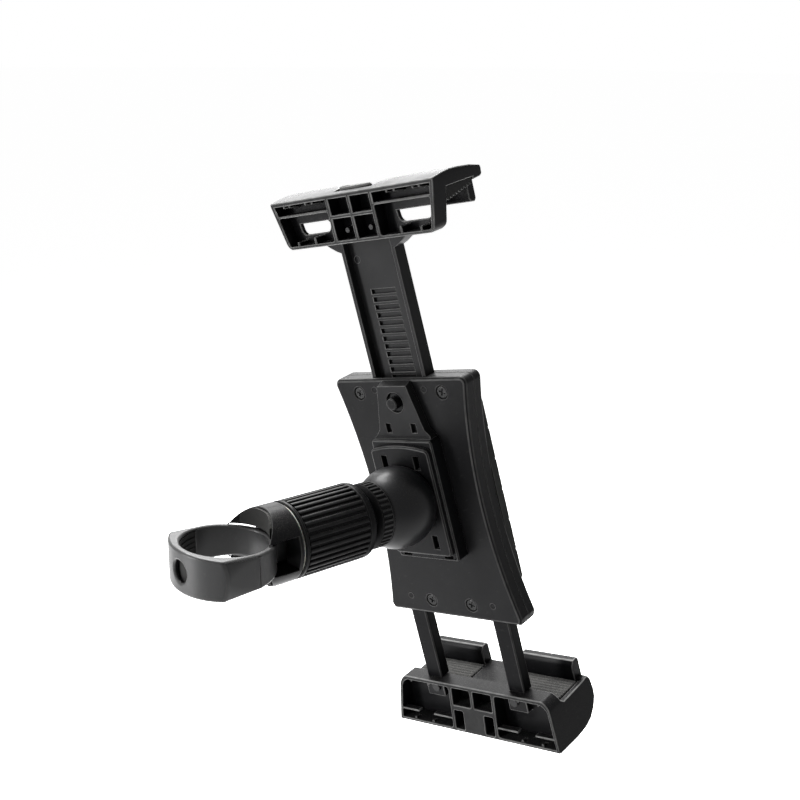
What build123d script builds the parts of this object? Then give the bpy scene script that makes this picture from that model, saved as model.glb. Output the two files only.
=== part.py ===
"""Clamp holder: clamp ring, ball joint and a cradle with two sliding jaws. Millimetres, +Z up."""

import os
from math import acos, atan2, cos, hypot, radians, sin, sqrt, tan

from build123d import *

# Clamp. Its bore runs along Z through the origin, the arm along +Y.
BORE_R = 18.0
RING_BACK_R = 20.9
RING_HALF_MID = 21.5
RING_HALF_RIM = 19.7
RING_CORNER = (21.6, -12.1)
RING_FRONT_Y = -21.3
RING_HALF_FRONT = 9.1
RING_HALF_BACK = 6.4
RING_HOLE_R = 4.75
LINER_WALL = 0.8
LINER_HALF = 6.6
TONGUE_HALF = 6.0
TONGUE_END = 34.0
TAB_HALF = 3.0
TAB_END = 44.0
PIN_R = 2.0
PIN_Y = 39.0

# Saddle shoe and grip sleeve.
SHOE_R = 17.0
SHOE_START = 11.4
SHOE_END = 28.0
SHOE_SLOT_HALF = 7.3
SHOE_SLOT_END = 25.8
PAD_WALL = 1.0
WASHER = (13.2, 16.0)
WASHER_END = 28.6
SLEEVE_R = 17.0
SLEEVE_START = 28.7
SLEEVE_END = 66.5
SLEEVE_BORE_R = 13.2
SLEEVE_RIBS = 36
RIB_START = 30.4
RIB_END = 62.4
GROOVE_WIDTH = 1.3
GROOVE_DEPTH = 0.9
NUT_FLATS = 22.7
NUT_START = 46.0
NUT_END = 58.0
STEM_R = 9.0
STEM_START = 34.3
STEM_END = 72.4
THREAD_GAP = 0.1

# Ball joint, all of it round the ball centre.
BALL_Y = 90.0
DOME_R = 18.75
DOME_BORE_R = 15.9
DOME_HOLE_ANGLE = 30.0
DOME_BASE_R = 11.9
DOME_STEP = 4.0
LINER_R = (14.85, 15.75)
LINER_ANGLE = 65.0
CUP_R = 14.7
CUP_ANGLE = 60.0
SEAT_R = (10.4, 13.3)
SEAT_START = 71.6
SEAT_SPHERE_R = 18.95
COLLAR_R = 15.0
COLLAR_START = 69.3
COLLAR_END = 77.6
COLLAR_WALL_END = 71.5
COLLAR_BORE_R = 13.4
COLLAR_SPHERE_R = 19.05
COLLAR_RIDGES = 40
BOLT_R = 2.5
BOLT_SEAT = 52.0
BOLT_END = 88.5
SPRING_SEAT = 78.8
SWIVEL = -11.5
PAN = 9.0
TILT = 10.2

# Ball plate and quick release, in the cradle's own frame round the ball centre.
PLATE_BACK = 10.0
PLATE_FRONT = 12.9
PLATE_HALF = 17.2
PLATE_TOP = 23.3
PLATE_APEX = 25.5
PLATE_BOTTOM = -28.5
HOOK_X = 9.5
HOOK_Z = (17.5, -21.5)
HOOK_SLOT = (3.2, 6.5)
DOME_SCREW = 10.0
NOTCH_TOP = 21.6
RELEASE_RISE = 2.6
RELEASE_PUSH = 1.6
RECEIVER_BACK = 13.0
RECEIVER_HALF = 18.0
RECEIVER_TOP = 27.1
RECEIVER_BOTTOM = -32.0
BUTTON_Z = 44.3
BUTTON_R = 4.6
KNOB_R = 2.9

# Cradle covers.
COVER_BACK = 20.3
COVER_SPLIT = 27.0
COVER_FRONT = 33.0
COVER_WALL = 2.0
COVER_TOP = 54.4
COVER_BOTTOM = -66.0
TOP_HALF = 40.0
WAIST_HALF = 33.0
WAIST_Z = -4.0
LOW_HALF = 39.7
LOW_Z = -63.0
PAD_FACE = 36.8
RIVET = (3.2, 51.0)
RIVET_R = 0.7
SCREWS = ((24.8, 47.4), (-24.8, 47.4), (12.1, -58.5), (-12.1, -58.5))

# Upper arm and lower bars.
ARM_HALF = 16.0
ARM_BACK = 22.4
ARM_FRONT = 29.2
ARM_FLOOR = 26.2
ARM_BOTTOM = 7.0
ARM_TOP = 117.8
RUNG_PITCH = 3.7
RUNG_TOP_Z = 93.7
RUNG_SLOTS = 21
RUNG_HALF = 7.2
RUNG_GAP = 1.1
RUNG_DEPTH = 1.5
NOTCH_DEPTH = 0.7
BAR_X = (20.5, 29.8)
BAR_Y = (22.6, 29.1)
BAR_TOP = 10.0
BAR_FOOT = -103.5
BRIDGE_Y = (29.45, 30.7)
BRIDGE_Z = (2.0, 8.0)
BAR_SCREW = (23.8, -108.2)
BAR_MIDDLE = 25.15

# Jaws. Profiles are (y, z) points of the end faces.
UPPER_HALF = 48.5
UPPER_PROFILE = ((18.0, 118.2), (18.0, 140.4), (24.0, 141.3), (30.0, 141.8), (36.0, 141.5), (44.0, 140.6),
                 (51.0, 139.0), (53.0, 137.4), (53.0, 135.4), (51.4, 134.2), (46.0, 133.8), (39.0, 132.8),
                 (33.0, 131.9), (30.0, 131.0), (27.1, 128.8), (26.8, 119.4), (25.8, 118.2))
LOWER_HALF = 48.8
LOWER_TOP_HALF = 45.0
POCKET_END = 24.8
LOWER_PROFILE = ((18.4, -103.5), (14.8, -127.2), (16.0, -128.0), (31.0, -128.3), (38.4, -127.6),
                 (44.2, -125.8), (48.6, -122.6), (51.8, -118.8), (52.8, -115.0), (52.8, -110.0),
                 (51.4, -107.8), (46.0, -108.4), (30.0, -109.0), (28.0, -107.4), (27.4, -103.5))
RIB = 1.8


def box(x0, x1, y0, y1, z0, z1):
    """Box between two corners."""
    return Pos((x0 + x1) / 2, (y0 + y1) / 2, (z0 + z1) / 2) * Box(x1 - x0, y1 - y0, z1 - z0)


def rod_y(radius, y0, y1, x=0.0, z=0.0):
    """Round bar along Y."""
    return Pos(x, (y0 + y1) / 2, z) * Rot(X=90) * Cylinder(radius, y1 - y0)


def tube_y(inner, outer, y0, y1):
    """Tube along Y."""
    return rod_y(outer, y0, y1) - rod_y(inner, y0 - 1, y1 + 1)


def polygon(points):
    """Flat face in XY from its corners."""
    return make_face(Polyline(*points, close=True))


def along_x(points, x0, x1):
    """Prism of (y, z) points from x0 to x1."""
    plane = Plane(origin=(x0, 0, 0), x_dir=(0, 1, 0), z_dir=(1, 0, 0))
    return extrude(plane * polygon(points), amount=x1 - x0, dir=(1, 0, 0))


def along_y(face, y0, y1):
    """Prism of a face drawn as (x, z) from y0 to y1."""
    plane = Plane(origin=(0, y0, 0), x_dir=(1, 0, 0), z_dir=(0, -1, 0))
    return extrude(plane * face, amount=y1 - y0, dir=(0, 1, 0))


def turned_y(points):
    """Solid of revolution round Y from (radius, y) points."""
    return revolve(polygon(points), axis=Axis.Y)


def both_sides(shape):
    """The shape and its mirror image across x = 0."""
    return shape + mirror(shape, about=Plane.YZ)


def in_ball(shape):
    """Moves a shape drawn round the ball centre to its place on the arm."""
    return Pos(0, BALL_Y, 0) * shape


def in_cradle(shape):
    """Moves a shape from the cradle's frame to the arm's frame."""
    return Pos(0, BALL_Y, 0) * Rot(Y=SWIVEL) * Rot(Z=PAN) * Rot(X=TILT) * shape


# Clamp

def ring_plan():
    """Plan of the ring: arc in front, straight flanks, round back."""
    cx, cy = RING_CORNER
    reach = hypot(cx, cy)
    angle = atan2(cy, cx) + acos(RING_BACK_R / reach)
    tx, ty = RING_BACK_R * cos(angle), RING_BACK_R * sin(angle)
    outline = [
        ThreePointArc((-cx, cy), (0, RING_FRONT_Y), (cx, cy)),
        Line((cx, cy), (tx, ty)),
        ThreePointArc((tx, ty), (0, RING_BACK_R), (-tx, ty)),
        Line((-tx, ty), (-cx, cy)),
    ]
    return make_face(outline)


def clamp_ring():
    """Ring with crowned flanks, a taper towards the arm and a tongue."""
    band = extrude(ring_plan(), amount=10, both=True)
    mid, rim, level = RING_HALF_MID, RING_HALF_RIM, 9.6
    crown = make_face([
        ThreePointArc((rim, -level), (mid, 0), (rim, level)),
        Line((rim, level), (-rim, level)),
        ThreePointArc((-rim, level), (-mid, 0), (-rim, -level)),
        Line((-rim, -level), (rim, -level)),
    ])
    barrel = extrude(Plane.XZ * crown, amount=30, both=True)
    front, back = RING_HALF_FRONT, RING_HALF_BACK
    wedge = along_x(((-26, front), (-21, front), (17, back), (26, back),
                     (26, -back), (17, -back), (-21, -front), (-26, -front)), -30, 30)
    ring = band & barrel & wedge
    ring -= Cylinder(BORE_R, 40)
    recess = Cylinder(BORE_R + LINER_WALL, 2 * LINER_HALF) & box(-30, 30, -30, -3, -10, 10)
    ring -= recess
    ring -= rod_y(RING_HOLE_R, RING_FRONT_Y - 4, -10)
    tongue = box(-TONGUE_HALF, TONGUE_HALF, 18.6, TONGUE_END, -back, back)
    tab = box(-TAB_HALF, TAB_HALF, TONGUE_END - 1, TAB_END, -TONGUE_HALF, TONGUE_HALF)
    pin_hole = Pos(0, PIN_Y, 0) * Rot(Y=90) * Cylinder(PIN_R, 30)
    return ring + tongue + tab - pin_hole


def ring_liner():
    """Rubber lining in the front half of the ring."""
    sleeve = Cylinder(BORE_R + LINER_WALL, 2 * LINER_HALF) - Cylinder(BORE_R, 40)
    liner = sleeve & box(-30, 30, -30, -3, -10, 10)
    for level in (-4.4, -2.2, 0, 2.2, 4.4):
        liner -= Pos(0, 0, level) * (Cylinder(BORE_R + 0.3, 0.7) - Cylinder(BORE_R - 1, 0.7))
    return liner


def saddle_shoe():
    """Round shoe, hollowed to the bore, slotted for the ring and its tongue."""
    shoe = rod_y(SHOE_R, SHOE_START, SHOE_END)
    shoe = chamfer(shoe.faces().sort_by(Axis.Y)[-1].edges(), 0.6)
    shoe -= Cylinder(BORE_R + PAD_WALL + 0.1, 60)
    half = SHOE_SLOT_HALF
    shoe -= box(-30, 30, 0, SHOE_SLOT_END, -half, half)
    window = TONGUE_HALF + 0.3
    return shoe - box(-window, window, 20, 30, -window - 2.4, window + 2.4)


def saddle_pads():
    """Two rubber pads in the hollow of the shoe, above and below the ring."""
    skin = Cylinder(BORE_R + PAD_WALL + 0.1, 40) - Cylinder(BORE_R + 0.1, 60)
    skin &= rod_y(SHOE_R - 0.5, 5, 30)
    upper = skin & box(-11, 11, 5, 30, SHOE_SLOT_HALF + 0.6, 16)
    lower = mirror(upper, about=Plane.XY)
    return Compound([upper.solid(), lower.solid()])


def thrust_washer():
    """Flat ring between the shoe and the turning sleeve."""
    return tube_y(WASHER[0], WASHER[1], SHOE_END, WASHER_END)


def grip_sleeve():
    """Ribbed hand grip with a pocket for its nut."""
    grip = rod_y(SLEEVE_R, SLEEVE_START, SLEEVE_END)
    grip = chamfer(grip.edges().filter_by(GeomType.CIRCLE).sort_by(Axis.Y)[-1], 1.6)
    grip = chamfer(grip.edges().filter_by(GeomType.CIRCLE).sort_by(Axis.Y)[0], 0.6)
    middle = (RIB_START + RIB_END) / 2
    groove = Pos(SLEEVE_R, middle, 0) * Box(2 * GROOVE_DEPTH, RIB_END - RIB_START, GROOVE_WIDTH)
    grip -= [Rot(Y=360 * i / SLEEVE_RIBS) * groove for i in range(SLEEVE_RIBS)]
    grip -= rod_y(SLEEVE_BORE_R, SLEEVE_START - 1, NUT_START)
    pocket = RegularPolygon(NUT_FLATS / 2 + 0.05, 6, major_radius=False)
    grip -= along_y(pocket, NUT_START - 0.1, NUT_END + 2)
    return grip - rod_y(STEM_R + 0.6, NUT_END, SLEEVE_END + 1)


def sleeve_nut():
    """Hex nut that turns with the sleeve on the stem."""
    nut = along_y(RegularPolygon(NUT_FLATS / 2, 6, major_radius=False), NUT_START, NUT_END)
    return nut - rod_y(STEM_R + THREAD_GAP, NUT_START - 1, NUT_END + 1)


def threaded_stem():
    """Stem with a slot for the ring's tongue and a seat for the joint bolt."""
    stem = rod_y(STEM_R, STEM_START, STEM_END)
    slot = TAB_HALF + 0.1
    stem -= box(-slot, slot, STEM_START - 1, TAB_END + 0.5, -12, 12)
    stem -= Pos(0, PIN_Y, 0) * Rot(Y=90) * Cylinder(PIN_R, 30)
    stem -= rod_y(4.7, TAB_END, BOLT_SEAT)
    stem -= rod_y(BOLT_R + 0.1, BOLT_SEAT - 1, STEM_END + 1)
    return stem - in_ball(Sphere(COLLAR_SPHERE_R + 0.25))


def tongue_pin():
    """Cross pin through the stem and the ring's tongue."""
    return Pos(0, PIN_Y, 0) * Rot(Y=90) * Cylinder(PIN_R, 2 * STEM_R - 1.6)


# Ball joint

def joint_bolt():
    """Bolt that pulls the inner cup towards the stem."""
    head = along_y(RegularPolygon(4.0, 6, major_radius=False), BOLT_SEAT - 4.2, BOLT_SEAT)
    return head + rod_y(BOLT_R, BOLT_SEAT - 0.5, BOLT_END)


def bolt_nut():
    """Lock nut at the bolt's far end."""
    nut = along_y(RegularPolygon(4.0, 6, major_radius=False), 82.5, 87.0)
    return nut - rod_y(BOLT_R, 80, 90)


def disc_springs():
    """Four conical washers under the nut."""
    inner, outer, thick, dish = BOLT_R + 0.2, 7.2, 0.45, 0.45
    springs = []
    for i in range(4):
        base = SPRING_SEAT + 0.02 + i * (thick + dish)
        low, high = (base, base + dish) if i % 2 == 0 else (base + dish, base)
        rise = thick - 0.02
        washer = turned_y(((inner, low), (outer, high), (outer, high + rise), (inner, low + rise)))
        springs.append(washer.solid())
    return Compound(springs)


def inner_cup():
    """Ball cap inside the dome, with a well for the springs."""
    flat = -CUP_R * cos(radians(CUP_ANGLE))
    cap = Sphere(CUP_R) & box(-20, 20, -20, flat, -20, 20)
    cap -= rod_y(7.5, SPRING_SEAT - BALL_Y, 0)
    return in_ball(cap - rod_y(BOLT_R + 0.1, -20, 0))


def cone_hole(half_angle, reach=25.0):
    """Cone that opens towards the arm from the ball centre."""
    return turned_y(((0, 0), (reach * tan(radians(half_angle)), -reach), (0, -reach)))


def cup_liner():
    """Thin shell between the inner cup and the dome."""
    shell = Sphere(LINER_R[1]) - Sphere(LINER_R[0])
    shell &= box(-20, 20, -20, -LINER_R[1] * cos(radians(LINER_ANGLE)), -20, 20)
    shell -= cone_hole(DOME_HOLE_ANGLE)
    return Pos(0, BALL_Y, 0) * Rot(Y=SWIVEL) * Rot(Z=PAN) * shell


def collar_seat():
    """Ring with a hollow face that the dome runs on."""
    seat = tube_y(SEAT_R[0], SEAT_R[1], SEAT_START, COLLAR_END)
    return seat - in_ball(Sphere(SEAT_SPHERE_R))


def lock_collar():
    """Knurled collar that squeezes the dome through its seat."""
    collar = rod_y(COLLAR_R, COLLAR_START, COLLAR_END)
    collar = chamfer(collar.edges().filter_by(GeomType.CIRCLE).sort_by(Axis.Y)[0], 0.8)
    length = COLLAR_END - COLLAR_START - 2.6
    middle = COLLAR_START + 1.4 + length / 2
    groove = Pos(COLLAR_R, middle, 0) * Box(1.0, length, 1.0)
    collar -= [Rot(Y=360 * i / COLLAR_RIDGES) * groove for i in range(COLLAR_RIDGES)]
    collar -= rod_y(STEM_R + THREAD_GAP, COLLAR_START - 1, COLLAR_END)
    collar -= rod_y(COLLAR_BORE_R, COLLAR_WALL_END, COLLAR_END + 1)
    return collar - in_ball(Sphere(COLLAR_SPHERE_R))


def dome_screw(x, z, slack=0.0):
    """One countersunk screw from the plate into the dome's base."""
    shank, rim = 1.0 + slack, 2.1 + slack
    outline = ((0, 11.3), (shank, 11.3), (rim, 12.5), (rim, 12.8 + slack), (0, 12.8 + slack))
    head = Pos(x, 0, z) * turned_y(outline)
    return head + rod_y(shank, 5.6, 11.5, x, z)


def dome_screw_spots():
    """Places of the four dome screws."""
    return [(x, z) for x in (-DOME_SCREW, DOME_SCREW) for z in (-DOME_SCREW, DOME_SCREW)]


def dome_screws():
    """The four screws of the dome."""
    return Compound([dome_screw(x, z).solid() for x, z in dome_screw_spots()])


def ball_dome():
    """Hollow ball with a thick base and a cone-shaped opening towards the arm."""
    angle = radians(DOME_HOLE_ANGLE)
    outer_start = (DOME_R * sin(angle), -DOME_R * cos(angle))
    outer_end = (sqrt(DOME_R ** 2 - PLATE_BACK ** 2), PLATE_BACK)
    inner_start = (sqrt(DOME_BORE_R ** 2 - DOME_STEP ** 2), DOME_STEP)
    inner_end = (DOME_BORE_R * sin(angle), -DOME_BORE_R * cos(angle))
    wall = make_face([
        ThreePointArc(outer_start, (DOME_R, 0), outer_end),
        Line(outer_end, (DOME_BASE_R, PLATE_BACK)),
        Line((DOME_BASE_R, PLATE_BACK), (DOME_BASE_R, DOME_STEP)),
        Line((DOME_BASE_R, DOME_STEP), inner_start),
        ThreePointArc(inner_start, (DOME_BORE_R, 0), inner_end),
        Line(inner_end, outer_start),
    ])
    dome = revolve(wall, axis=Axis.Y)
    for x, z in dome_screw_spots():
        dome -= rod_y(1.02, 5.5, PLATE_BACK + 1, x, z)
    return dome


def plate_outline():
    """Outline of the ball plate with a bowed top edge."""
    half, top, bottom = PLATE_HALF, PLATE_TOP, PLATE_BOTTOM
    face = make_face([
        Line((-half, bottom), (half, bottom)),
        Line((half, bottom), (half, top)),
        ThreePointArc((half, top), (0, PLATE_APEX), (-half, top)),
        Line((-half, top), (-half, bottom)),
    ])
    return fillet(face.vertices(), 2.6)


def ball_plate():
    """Plate of the dome with four hooks and a notch for the release tooth."""
    plate = along_y(plate_outline(), PLATE_BACK, PLATE_FRONT)
    plate = chamfer(plate.faces().sort_by(Axis.Y)[0].edges(), 0.7)
    width, height = HOOK_SLOT
    for x in (-HOOK_X, HOOK_X):
        for z in HOOK_Z:
            plate -= Pos(x, 11.5, z) * Box(width, 6, height)
            low = z - height / 2
            stem = box(x - 1.6, x + 1.6, PLATE_FRONT - 1.5, 16.8, low - 1.6, low + 0.2)
            lip = box(x - 1.6, x + 1.6, 15.3, 16.8, low - 1.6, low + 2.6)
            plate += stem + lip
    plate -= box(-4, 4, 11.0, PLATE_FRONT + 1, 16.9, NOTCH_TOP)
    for x, z in dome_screw_spots():
        plate -= dome_screw(x, z, 0.02)
    return plate


# Quick release

def receiver_plate():
    """Plate with four pockets that hang on the hooks and a well for the lever."""
    half, top, bottom = RECEIVER_HALF, RECEIVER_TOP, RECEIVER_BOTTOM
    face = fillet(polygon(((-half, bottom), (half, bottom), (half, top), (-half, top))).vertices(), 1.6)
    plate = along_y(face, RECEIVER_BACK, COVER_BACK)
    plate = chamfer(plate.faces().sort_by(Axis.Y)[0].edges(), 0.6)
    for x in (-HOOK_X, HOOK_X):
        for z in HOOK_Z:
            low = z - HOOK_SLOT[1] / 2
            window = low - 1.6 - RELEASE_RISE - 0.3
            plate -= box(x - 2, x + 2, RECEIVER_BACK - 1, 17.3, window, low + 0.3)
            plate -= box(x - 2, x + 2, 15.1, 17.3, window, low + 3.0)
    for x in (-12.5, 12.5):
        plate -= box(x - 2.6, x + 2.6, RECEIVER_BACK - 1, 15.6, -31.0, -29.2)
    plate -= box(-3.8, 3.8, RECEIVER_BACK - 1, 18, 16.9, 22.3)
    return plate - box(-4.4, 4.4, 17.2, COVER_BACK + 1, 16.8, RECEIVER_TOP + 1)


def latch_block():
    """Housing of the release button above the receiver."""
    foot_half, low_half, top_half = 17.2, 13.5, 8.4
    foot = RECEIVER_TOP + 0.05
    outline = polygon(((-foot_half, foot), (foot_half, foot), (low_half, 31.2),
                       (top_half, 53.5), (-top_half, 53.5), (-low_half, 31.2)))
    side = ((14.6, RECEIVER_TOP), (15.9, 28.4), (15.9, 52.2),
            (COVER_BACK, 53.6), (COVER_BACK, RECEIVER_TOP))
    block = along_y(outline, 14, COVER_BACK) & along_x(side, -20, 20)
    block -= rod_y(BUTTON_R + 0.2, 10, COVER_BACK + 1, 0, BUTTON_Z)
    for x in (-7.5, 7.5):
        block -= box(x - 1.5, x + 1.5, 14, 17.8, 29.8, 34.2)
    return block - box(-4.4, 4.4, 17.3, COVER_BACK + 1, RECEIVER_TOP - 1, 49.6)


def release_button():
    """Round knob on a disc, its lever and the sloped tooth that holds the plate."""
    head = rod_y(BUTTON_R, 17.2, 17.8, 0, BUTTON_Z)
    knob = rod_y(KNOB_R, 13.2, 17.3, 0, BUTTON_Z)
    knob = chamfer(knob.faces().sort_by(Axis.Y)[0].edges(), 0.4)
    lever = box(-4.2, 4.2, 17.5, 19.3, 17.4, 49.3)
    slope = RELEASE_PUSH / RELEASE_RISE
    top = NOTCH_TOP - 0.22
    tip = 11.4
    low, high = top - (PLATE_FRONT - tip) / slope, top + 0.2 / slope
    side = ((tip, 17.4), (tip, low), (PLATE_FRONT + 0.2, high), (18.0, high), (18.0, 17.4))
    tooth = along_x(side, -3.4, 3.4)
    return head + knob + lever + tooth


def button_spring():
    """Small coil spring behind the button."""
    radius, wire, start, end = 2.1, 0.35, 19.35 + 0.2, 24.4
    path = Helix(pitch=(end - start - 2 * wire) / 4, height=end - start - 2 * wire, radius=radius)
    section = Plane(origin=path @ 0, z_dir=path % 0) * Circle(wire)
    coil = sweep(section, path=path)
    return Pos(0, start + wire, BUTTON_Z) * Rot(X=-90) * coil


# Cradle covers

def cover_outline(inset=0.0):
    """Narrow-waisted outline of the covers."""
    face = make_face([
        Line((-TOP_HALF, COVER_TOP), (TOP_HALF, COVER_TOP)),
        ThreePointArc((TOP_HALF, COVER_TOP), (WAIST_HALF, WAIST_Z), (LOW_HALF, LOW_Z)),
        Line((LOW_HALF, LOW_Z), (LOW_HALF - 1.2, COVER_BOTTOM)),
        Line((LOW_HALF - 1.2, COVER_BOTTOM), (1.2 - LOW_HALF, COVER_BOTTOM)),
        Line((1.2 - LOW_HALF, COVER_BOTTOM), (-LOW_HALF, LOW_Z)),
        ThreePointArc((-LOW_HALF, LOW_Z), (-WAIST_HALF, WAIST_Z), (-TOP_HALF, COVER_TOP)),
    ])
    corners = face.vertices().sort_by(Axis.Y)[-2:]
    face = fillet(corners, 3.2)
    return offset(face, -inset, kind=Kind.INTERSECTION) if inset else face


def passages():
    """Openings in the end walls for the arm and the bars."""
    arm = box(-ARM_HALF - 0.25, ARM_HALF + 0.25, COVER_BACK + COVER_WALL, ARM_FRONT + 0.25, 45, 60)
    bar = box(BAR_X[0] - 0.25, BAR_X[1] + 0.25, COVER_BACK + COVER_WALL, BAR_Y[1] + 0.25, -70, -60)
    return arm + both_sides(bar)


def rear_cover():
    """Back half of the box, with guides, screw posts and a well for the lever."""
    inner_y = COVER_BACK + COVER_WALL
    cover = along_y(cover_outline(), COVER_BACK, COVER_SPLIT)
    cover = chamfer(cover.faces().sort_by(Axis.Y)[0].edges(), 1.1)
    cover -= along_y(cover_outline(COVER_WALL), inner_y, COVER_SPLIT + 1)
    guide = box(ARM_HALF + 0.2, BAR_X[0] - 0.3, inner_y - 0.5, COVER_SPLIT, -53, 41)
    cover += both_sides(guide)
    cover += box(-6.2, 6.2, inner_y - 0.5, 23.3, 14.8, 51.4)
    cover += rod_y(4.2, 22, 25.9, 0, BUTTON_Z)
    for x, z in SCREWS:
        cover += rod_y(3.0, inner_y - 0.5, COVER_SPLIT, x, z)
    cover -= passages()
    cover -= box(-4.6, 4.6, COVER_BACK - 1, 21.7, 16.6, 49.8)
    cover -= rod_y(3.0, COVER_BACK - 1, 24.6, 0, BUTTON_Z)
    for x, z in SCREWS:
        cover -= rod_y(3.2, COVER_BACK - 1, 22.0, x, z)
        cover -= rod_y(1.3, COVER_BACK, 40, x, z)
    for x, z in ((14.9, 48.9), (24.9, -57.4)):
        cover -= both_sides(rod_y(1.3, COVER_BACK - 1, COVER_BACK + 0.3, x, z))
    return cover


def front_cover():
    """Front half of the box."""
    cover = along_y(cover_outline(), COVER_SPLIT, COVER_FRONT)
    cover = chamfer(cover.faces().sort_by(Axis.Y)[-1].edges(), 1.4)
    cover -= along_y(cover_outline(COVER_WALL), COVER_SPLIT - 1, COVER_FRONT - COVER_WALL)
    for x, z in SCREWS:
        cover += rod_y(3.0, COVER_SPLIT, COVER_FRONT - 1, x, z)
        cover -= rod_y(1.3, COVER_SPLIT - 1, 31.0, x, z)
    cover -= passages()
    for x in (-30.0, 30.0):
        cover -= pad_body(x, 0.05)
    cover -= both_sides(rod_y(RIVET_R, 30, 32.2, RIVET[0], RIVET[1]))
    return cover


def pad_body(x, slack=0.0):
    """One long pad, sunk 1 mm into the front cover."""
    face = Pos(x, -5) * SlotOverall(92 + 2 * slack, 7 + 2 * slack, rotation=90)
    return along_y(face, COVER_FRONT - 1.0, PAD_FACE)


def rest_pads():
    """Two long rubber pads on the cradle's front."""
    pads = []
    for x in (-30.0, 30.0):
        pad = pad_body(x)
        pad = chamfer(pad.faces().sort_by(Axis.Y)[-1].edges(), 0.6)
        for z in (-35, -20, -5, 10, 25):
            pad -= box(x - 5, x + 5, PAD_FACE - 0.8, PAD_FACE + 1, z - 0.6, z + 0.6)
        pads.append(pad.solid())
    return Compound(pads)


def cover_screws():
    """Four cross-head screws from the back."""
    screws = []
    for x, z in SCREWS:
        head = rod_y(2.9, 20.7, 22.0, x, z)
        head = chamfer(head.faces().sort_by(Axis.Y)[0].edges(), 0.35)
        cross = box(x - 1.7, x + 1.7, 20, 21.4, z - 0.35, z + 0.35)
        cross += box(x - 0.35, x + 0.35, 20, 21.4, z - 1.7, z + 1.7)
        screw = head + rod_y(1.2, 21.5, 30.6, x, z) - Pos(x, 0, z) * Rot(Y=20) * Pos(-x, 0, -z) * cross
        screws.append(screw.solid())
    return Compound(screws)


def detent_spring():
    """Leaf that bears on the ladder from the front."""
    leaf = ((31.0, 52.2), (30.65, 52.2), (30.65, 49.75), (29.4, 46.3), (29.4, 45.6), (29.9, 44.6),
            (30.25, 44.6), (29.8, 45.7), (29.8, 46.2), (31.0, 49.5))
    return along_x(leaf, -5, 5) - both_sides(rod_y(RIVET_R, 29, 32, RIVET[0], RIVET[1]))


def detent_rivets():
    """Two rivets of the detent spring."""
    rivet = rod_y(RIVET_R, 30.4, 32.2, RIVET[0], RIVET[1]) + rod_y(1.2, 30.1, 30.64, RIVET[0], RIVET[1])
    return Compound([s for s in both_sides(rivet).solids()])


def bar_brakes():
    """Two small blocks that keep the bars from rattling."""
    block = box(BAR_X[1] + 0.06, WAIST_HALF - COVER_WALL - 0.02, 23.4, 26.9, -5.0, 1.0)
    return Compound([s for s in both_sides(block).solids()])


# Upper jaw

def upper_arm():
    """Channel with a rack of recesses in its floor and shallow notches behind them."""
    arm = box(-ARM_HALF, ARM_HALF, ARM_BACK, ARM_FRONT, ARM_BOTTOM, ARM_TOP)
    arm -= box(2 - ARM_HALF, ARM_HALF - 2, ARM_BACK - 1, ARM_FLOOR, ARM_BOTTOM - 1, ARM_TOP + 1)
    for i in range(RUNG_SLOTS):
        low = RUNG_TOP_Z - i * RUNG_PITCH - RUNG_GAP
        high = low + 2 * RUNG_GAP
        arm -= box(-RUNG_HALF, RUNG_HALF, ARM_FLOOR - 1, ARM_FLOOR + RUNG_DEPTH, low, high)
        arm -= box(-RUNG_HALF, RUNG_HALF, ARM_FRONT - NOTCH_DEPTH, ARM_FRONT + 1, low, high)
    arm -= rod_y(1.6, ARM_FLOOR - 1, ARM_FLOOR + 0.3, -11, 109)
    flare = polygon(((15.9, 113.2), (18.4, 114.2), (21.4, 115.9), (24.2, ARM_TOP), (15.9, ARM_TOP)))
    arm += both_sides(along_y(flare, ARM_BACK, ARM_FRONT))
    root = box(-15.5, 15.5, 27.15, ARM_FRONT, ARM_TOP - 1, 127.4)
    arm += root
    for x in (-7, 7):
        arm -= rod_y(1.35, 20, 32, x, 123.6)
    return arm


def upper_outline():
    """Front view of the upper jaw's body."""
    face = polygon(((-43.6, 117.9), (43.6, 117.9), (48.5, 139.0),
                    (48.5, 143.0), (-48.5, 143.0), (-48.5, 139.0)))
    low = face.vertices().sort_by(Axis.Y)[:2]
    return fillet(low, 4.5)


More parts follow.
